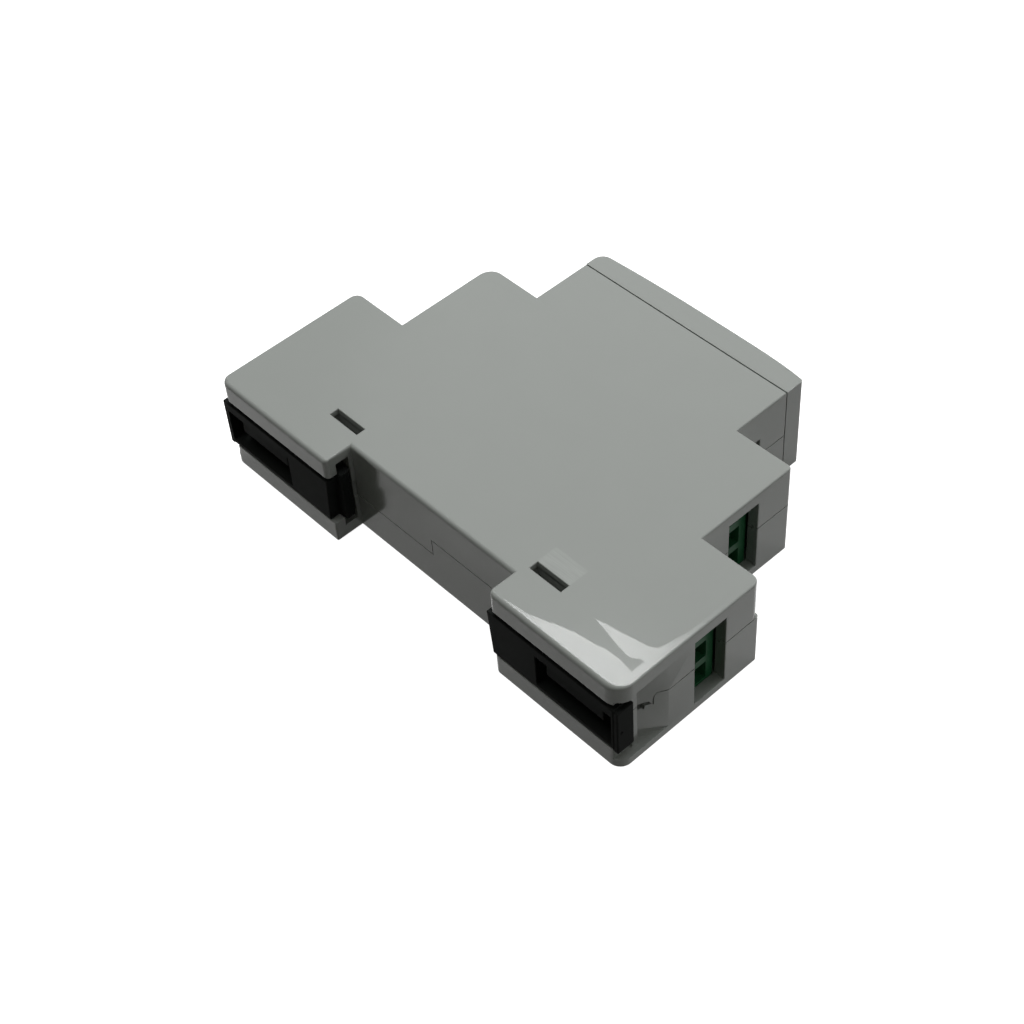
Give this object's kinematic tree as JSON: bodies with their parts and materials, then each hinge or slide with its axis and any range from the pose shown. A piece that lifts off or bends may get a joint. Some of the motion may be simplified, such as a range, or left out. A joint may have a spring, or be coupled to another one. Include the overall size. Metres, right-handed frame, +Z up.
{
  "type": "bistable relay",
  "caption": "Slim rail-mounted bistable relay with a stepped housing, screw terminals behind end windows, sliding rail clips and a snap-in front cap with a push button.",
  "frame": {"origin": "on the underside, at the middle of the rail seat's edge, as the module lies on its side", "axes": "+X across the rail along the housing's length, +Y from the rail to the front cap, +Z up through the housing's width, along the rail"},
  "size_m": [0.0906, 0.0652, 0.018],
  "materials": {
    "upper_housing_half": "light grey satin plastic",
    "lower_housing_half": "light grey satin plastic",
    "front_cap": "light grey satin plastic",
    "rail_clip_right": "black satin plastic",
    "rail_clip_left": "black satin plastic",
    "lower_board": "green circuit board",
    "middle_board": "green circuit board",
    "front_board": "green circuit board",
    "lower_right_block": "dark green plastic",
    "lower_left_block": "dark green plastic",
    "upper_right_block": "dark green plastic",
    "upper_left_block": "dark green plastic",
    "terminal_pins": "tinned contact bars",
    "lower_right_screw_1": "zinc plated steel",
    "lower_right_screw_2": "zinc plated steel",
    "lower_right_screw_3": "zinc plated steel",
    "lower_left_screw_1": "zinc plated steel",
    "lower_left_screw_2": "zinc plated steel",
    "lower_left_screw_3": "zinc plated steel",
    "upper_right_screw_1": "zinc plated steel",
    "upper_right_screw_2": "zinc plated steel",
    "upper_right_screw_3": "zinc plated steel",
    "upper_left_screw_1": "zinc plated steel",
    "upper_left_screw_2": "zinc plated steel",
    "upper_left_screw_3": "zinc plated steel",
    "lower_right_cage_1": "nickel plated cage",
    "lower_right_cage_2": "nickel plated cage",
    "lower_right_cage_3": "nickel plated cage",
    "lower_left_cage_1": "nickel plated cage",
    "lower_left_cage_2": "nickel plated cage",
    "lower_left_cage_3": "nickel plated cage",
    "upper_right_cage_1": "nickel plated cage",
    "upper_right_cage_2": "nickel plated cage",
    "upper_right_cage_3": "nickel plated cage",
    "upper_left_cage_1": "nickel plated cage",
    "upper_left_cage_2": "nickel plated cage",
    "upper_left_cage_3": "nickel plated cage",
    "relay_base": "black moulded base",
    "relay_cover": "pale moulded cover",
    "relay_bobbin": "cream bobbin",
    "relay_winding": "enamelled copper wire",
    "relay_yoke": "soft iron core and yoke",
    "relay_magnet": "dark sintered magnet",
    "relay_armature": "soft iron armature",
    "relay_lever": "black moulded lever",
    "relay_pusher": "cream pusher card",
    "relay_moving_contact": "copper alloy spring",
    "relay_fixed_contacts": "copper alloy blades",
    "relay_pins": "tinned pins",
    "board_header": "black strip with plated pins",
    "front_header": "black strip with plated pins",
    "film_capacitor": "yellow boxed capacitor",
    "storage_capacitor": "dark sleeved can",
    "varistor": "blue dipped disc",
    "control_chip": "black moulded chip",
    "tactile_switch": "black moulded switch",
    "tactile_stem": "pale stem",
    "push_button": "dark grey satin plastic",
    "status_led": "clear moulded lamp",
    "status_lens": "clear green plastic"
  },
  "bodies": {
    "housing": {"upper_housing_half": "upper_housing_half", "lower_housing_half": "lower_housing_half", "front_cap": "front_cap", "lower_board": "lower_board", "middle_board": "middle_board", "front_board": "front_board", "lower_right_block": "lower_right_block", "lower_left_block": "lower_left_block", "upper_right_block": "upper_right_block", "upper_left_block": "upper_left_block", "terminal_pins": "terminal_pins", "relay_base": "relay_base", "relay_cover": "relay_cover", "relay_bobbin": "relay_bobbin", "relay_winding": "relay_winding", "relay_yoke": "relay_yoke", "relay_magnet": "relay_magnet", "relay_fixed_contacts": "relay_fixed_contacts", "relay_pins": "relay_pins", "board_header": "board_header", "front_header": "front_header", "film_capacitor": "film_capacitor", "storage_capacitor": "storage_capacitor", "varistor": "varistor", "control_chip": "control_chip", "tactile_switch": "tactile_switch", "status_led": "status_led", "status_lens": "status_lens"},
    "right_clip": {"rail_clip_right": "rail_clip_right"},
    "left_clip": {"rail_clip_left": "rail_clip_left"},
    "button": {"push_button": "push_button", "tactile_stem": "tactile_stem"},
    "armature": {"relay_armature": "relay_armature", "relay_lever": "relay_lever"},
    "pusher": {"relay_pusher": "relay_pusher"},
    "moving_contact": {"relay_moving_contact": "relay_moving_contact"},
    "lower_right_screw_1": {"lower_right_screw_1": "lower_right_screw_1"},
    "lower_right_cage_1": {"lower_right_cage_1": "lower_right_cage_1"},
    "lower_right_screw_2": {"lower_right_screw_2": "lower_right_screw_2"},
    "lower_right_cage_2": {"lower_right_cage_2": "lower_right_cage_2"},
    "lower_right_screw_3": {"lower_right_screw_3": "lower_right_screw_3"},
    "lower_right_cage_3": {"lower_right_cage_3": "lower_right_cage_3"},
    "lower_left_screw_1": {"lower_left_screw_1": "lower_left_screw_1"},
    "lower_left_cage_1": {"lower_left_cage_1": "lower_left_cage_1"},
    "lower_left_screw_2": {"lower_left_screw_2": "lower_left_screw_2"},
    "lower_left_cage_2": {"lower_left_cage_2": "lower_left_cage_2"},
    "lower_left_screw_3": {"lower_left_screw_3": "lower_left_screw_3"},
    "lower_left_cage_3": {"lower_left_cage_3": "lower_left_cage_3"},
    "upper_right_screw_1": {"upper_right_screw_1": "upper_right_screw_1"},
    "upper_right_cage_1": {"upper_right_cage_1": "upper_right_cage_1"},
    "upper_right_screw_2": {"upper_right_screw_2": "upper_right_screw_2"},
    "upper_right_cage_2": {"upper_right_cage_2": "upper_right_cage_2"},
    "upper_right_screw_3": {"upper_right_screw_3": "upper_right_screw_3"},
    "upper_right_cage_3": {"upper_right_cage_3": "upper_right_cage_3"},
    "upper_left_screw_1": {"upper_left_screw_1": "upper_left_screw_1"},
    "upper_left_cage_1": {"upper_left_cage_1": "upper_left_cage_1"},
    "upper_left_screw_2": {"upper_left_screw_2": "upper_left_screw_2"},
    "upper_left_cage_2": {"upper_left_cage_2": "upper_left_cage_2"},
    "upper_left_screw_3": {"upper_left_screw_3": "upper_left_screw_3"},
    "upper_left_cage_3": {"upper_left_cage_3": "upper_left_cage_3"}
  },
  "joints": [
    {"name": "right_clip_slide", "type": "slide", "parent": "housing", "child": "right_clip", "axis": [1, 0, 0], "range_m": [0, 0.004]},
    {"name": "left_clip_slide", "type": "slide", "parent": "housing", "child": "left_clip", "axis": [-1, 0, 0], "range_m": [-0.0011, 0.0029]},
    {"name": "button_press", "type": "slide", "parent": "housing", "child": "button", "axis": [0, -1, 0], "range_m": [0, 0.0006], "stiffness_N_per_m": 300, "springref_m": -0.001},
    {"name": "armature_rock", "type": "hinge", "parent": "housing", "child": "armature", "pos_m": [0.0165, 0.0158, 0.009], "axis": [0, 0, -1], "range_deg": [0, 8]},
    {"name": "pusher_slide", "type": "slide", "parent": "housing", "child": "pusher", "axis": [1, 0, 0], "range_m": [0, 0.00099]},
    {"name": "contact_flex", "type": "hinge", "parent": "housing", "child": "moving_contact", "pos_m": [0.023, 0.01105, 0.009], "axis": [0, 0, -1], "range_deg": [0, 4.9]},
    {"name": "lower_right_screw_1_turn", "type": "hinge", "parent": "housing", "child": "lower_right_screw_1", "pos_m": [0.03875, 0.0191, 0.004], "axis": [0, -1, 0], "range_deg": [0, 1800]},
    {"name": "lower_right_cage_1_rise", "type": "slide", "parent": "housing", "child": "lower_right_cage_1", "axis": [0, 1, 0], "range_m": [0, 0.0025]},
    {"name": "lower_right_screw_2_turn", "type": "hinge", "parent": "housing", "child": "lower_right_screw_2", "pos_m": [0.03875, 0.0191, 0.009], "axis": [0, -1, 0], "range_deg": [0, 1800]},
    {"name": "lower_right_cage_2_rise", "type": "slide", "parent": "housing", "child": "lower_right_cage_2", "axis": [0, 1, 0], "range_m": [0, 0.0025]},
    {"name": "lower_right_screw_3_turn", "type": "hinge", "parent": "housing", "child": "lower_right_screw_3", "pos_m": [0.03875, 0.0191, 0.014], "axis": [0, -1, 0], "range_deg": [0, 1800]},
    {"name": "lower_right_cage_3_rise", "type": "slide", "parent": "housing", "child": "lower_right_cage_3", "axis": [0, 1, 0], "range_m": [0, 0.0025]},
    {"name": "lower_left_screw_1_turn", "type": "hinge", "parent": "housing", "child": "lower_left_screw_1", "pos_m": [-0.03875, 0.0191, 0.004], "axis": [0, -1, 0], "range_deg": [0, 1800]},
    {"name": "lower_left_cage_1_rise", "type": "slide", "parent": "housing", "child": "lower_left_cage_1", "axis": [0, 1, 0], "range_m": [0, 0.0025]},
    {"name": "lower_left_screw_2_turn", "type": "hinge", "parent": "housing", "child": "lower_left_screw_2", "pos_m": [-0.03875, 0.0191, 0.009], "axis": [0, -1, 0], "range_deg": [0, 1800]},
    {"name": "lower_left_cage_2_rise", "type": "slide", "parent": "housing", "child": "lower_left_cage_2", "axis": [0, 1, 0], "range_m": [0, 0.0025]},
    {"name": "lower_left_screw_3_turn", "type": "hinge", "parent": "housing", "child": "lower_left_screw_3", "pos_m": [-0.03875, 0.0191, 0.014], "axis": [0, -1, 0], "range_deg": [0, 1800]},
    {"name": "lower_left_cage_3_rise", "type": "slide", "parent": "housing", "child": "lower_left_cage_3", "axis": [0, 1, 0], "range_m": [0, 0.0025]},
    {"name": "upper_right_screw_1_turn", "type": "hinge", "parent": "housing", "child": "upper_right_screw_1", "pos_m": [0.02725, 0.0386, 0.004], "axis": [0, -1, 0], "range_deg": [0, 1800]},
    {"name": "upper_right_cage_1_rise", "type": "slide", "parent": "housing", "child": "upper_right_cage_1", "axis": [0, 1, 0], "range_m": [0, 0.0025]},
    {"name": "upper_right_screw_2_turn", "type": "hinge", "parent": "housing", "child": "upper_right_screw_2", "pos_m": [0.02725, 0.0386, 0.009], "axis": [0, -1, 0], "range_deg": [0, 1800]},
    {"name": "upper_right_cage_2_rise", "type": "slide", "parent": "housing", "child": "upper_right_cage_2", "axis": [0, 1, 0], "range_m": [0, 0.0025]},
    {"name": "upper_right_screw_3_turn", "type": "hinge", "parent": "housing", "child": "upper_right_screw_3", "pos_m": [0.02725, 0.0386, 0.014], "axis": [0, -1, 0], "range_deg": [0, 1800]},
    {"name": "upper_right_cage_3_rise", "type": "slide", "parent": "housing", "child": "upper_right_cage_3", "axis": [0, 1, 0], "range_m": [0, 0.0025]},
    {"name": "upper_left_screw_1_turn", "type": "hinge", "parent": "housing", "child": "upper_left_screw_1", "pos_m": [-0.02725, 0.0386, 0.004], "axis": [0, -1, 0], "range_deg": [0, 1800]},
    {"name": "upper_left_cage_1_rise", "type": "slide", "parent": "housing", "child": "upper_left_cage_1", "axis": [0, 1, 0], "range_m": [0, 0.0025]},
    {"name": "upper_left_screw_2_turn", "type": "hinge", "parent": "housing", "child": "upper_left_screw_2", "pos_m": [-0.02725, 0.0386, 0.009], "axis": [0, -1, 0], "range_deg": [0, 1800]},
    {"name": "upper_left_cage_2_rise", "type": "slide", "parent": "housing", "child": "upper_left_cage_2", "axis": [0, 1, 0], "range_m": [0, 0.0025]},
    {"name": "upper_left_screw_3_turn", "type": "hinge", "parent": "housing", "child": "upper_left_screw_3", "pos_m": [-0.02725, 0.0386, 0.014], "axis": [0, -1, 0], "range_deg": [0, 1800]},
    {"name": "upper_left_cage_3_rise", "type": "slide", "parent": "housing", "child": "upper_left_cage_3", "axis": [0, 1, 0], "range_m": [0, 0.0025]}
  ],
  "couplings": [
    {"joint": "armature_rock", "follows": "pusher_slide", "rad_per_m": 140.8},
    {"joint": "contact_flex", "follows": "pusher_slide", "rad_per_m": 85.1},
    {"joint": "lower_right_screw_1_turn", "follows": "lower_right_cage_1_rise", "rad_per_m": 12566},
    {"joint": "lower_right_screw_2_turn", "follows": "lower_right_cage_2_rise", "rad_per_m": 12566},
    {"joint": "lower_right_screw_3_turn", "follows": "lower_right_cage_3_rise", "rad_per_m": 12566},
    {"joint": "lower_left_screw_1_turn", "follows": "lower_left_cage_1_rise", "rad_per_m": 12566},
    {"joint": "lower_left_screw_2_turn", "follows": "lower_left_cage_2_rise", "rad_per_m": 12566},
    {"joint": "lower_left_screw_3_turn", "follows": "lower_left_cage_3_rise", "rad_per_m": 12566},
    {"joint": "upper_right_screw_1_turn", "follows": "upper_right_cage_1_rise", "rad_per_m": 12566},
    {"joint": "upper_right_screw_2_turn", "follows": "upper_right_cage_2_rise", "rad_per_m": 12566},
    {"joint": "upper_right_screw_3_turn", "follows": "upper_right_cage_3_rise", "rad_per_m": 12566},
    {"joint": "upper_left_screw_1_turn", "follows": "upper_left_cage_1_rise", "rad_per_m": 12566},
    {"joint": "upper_left_screw_2_turn", "follows": "upper_left_cage_2_rise", "rad_per_m": 12566},
    {"joint": "upper_left_screw_3_turn", "follows": "upper_left_cage_3_rise", "rad_per_m": 12566}
  ]
}
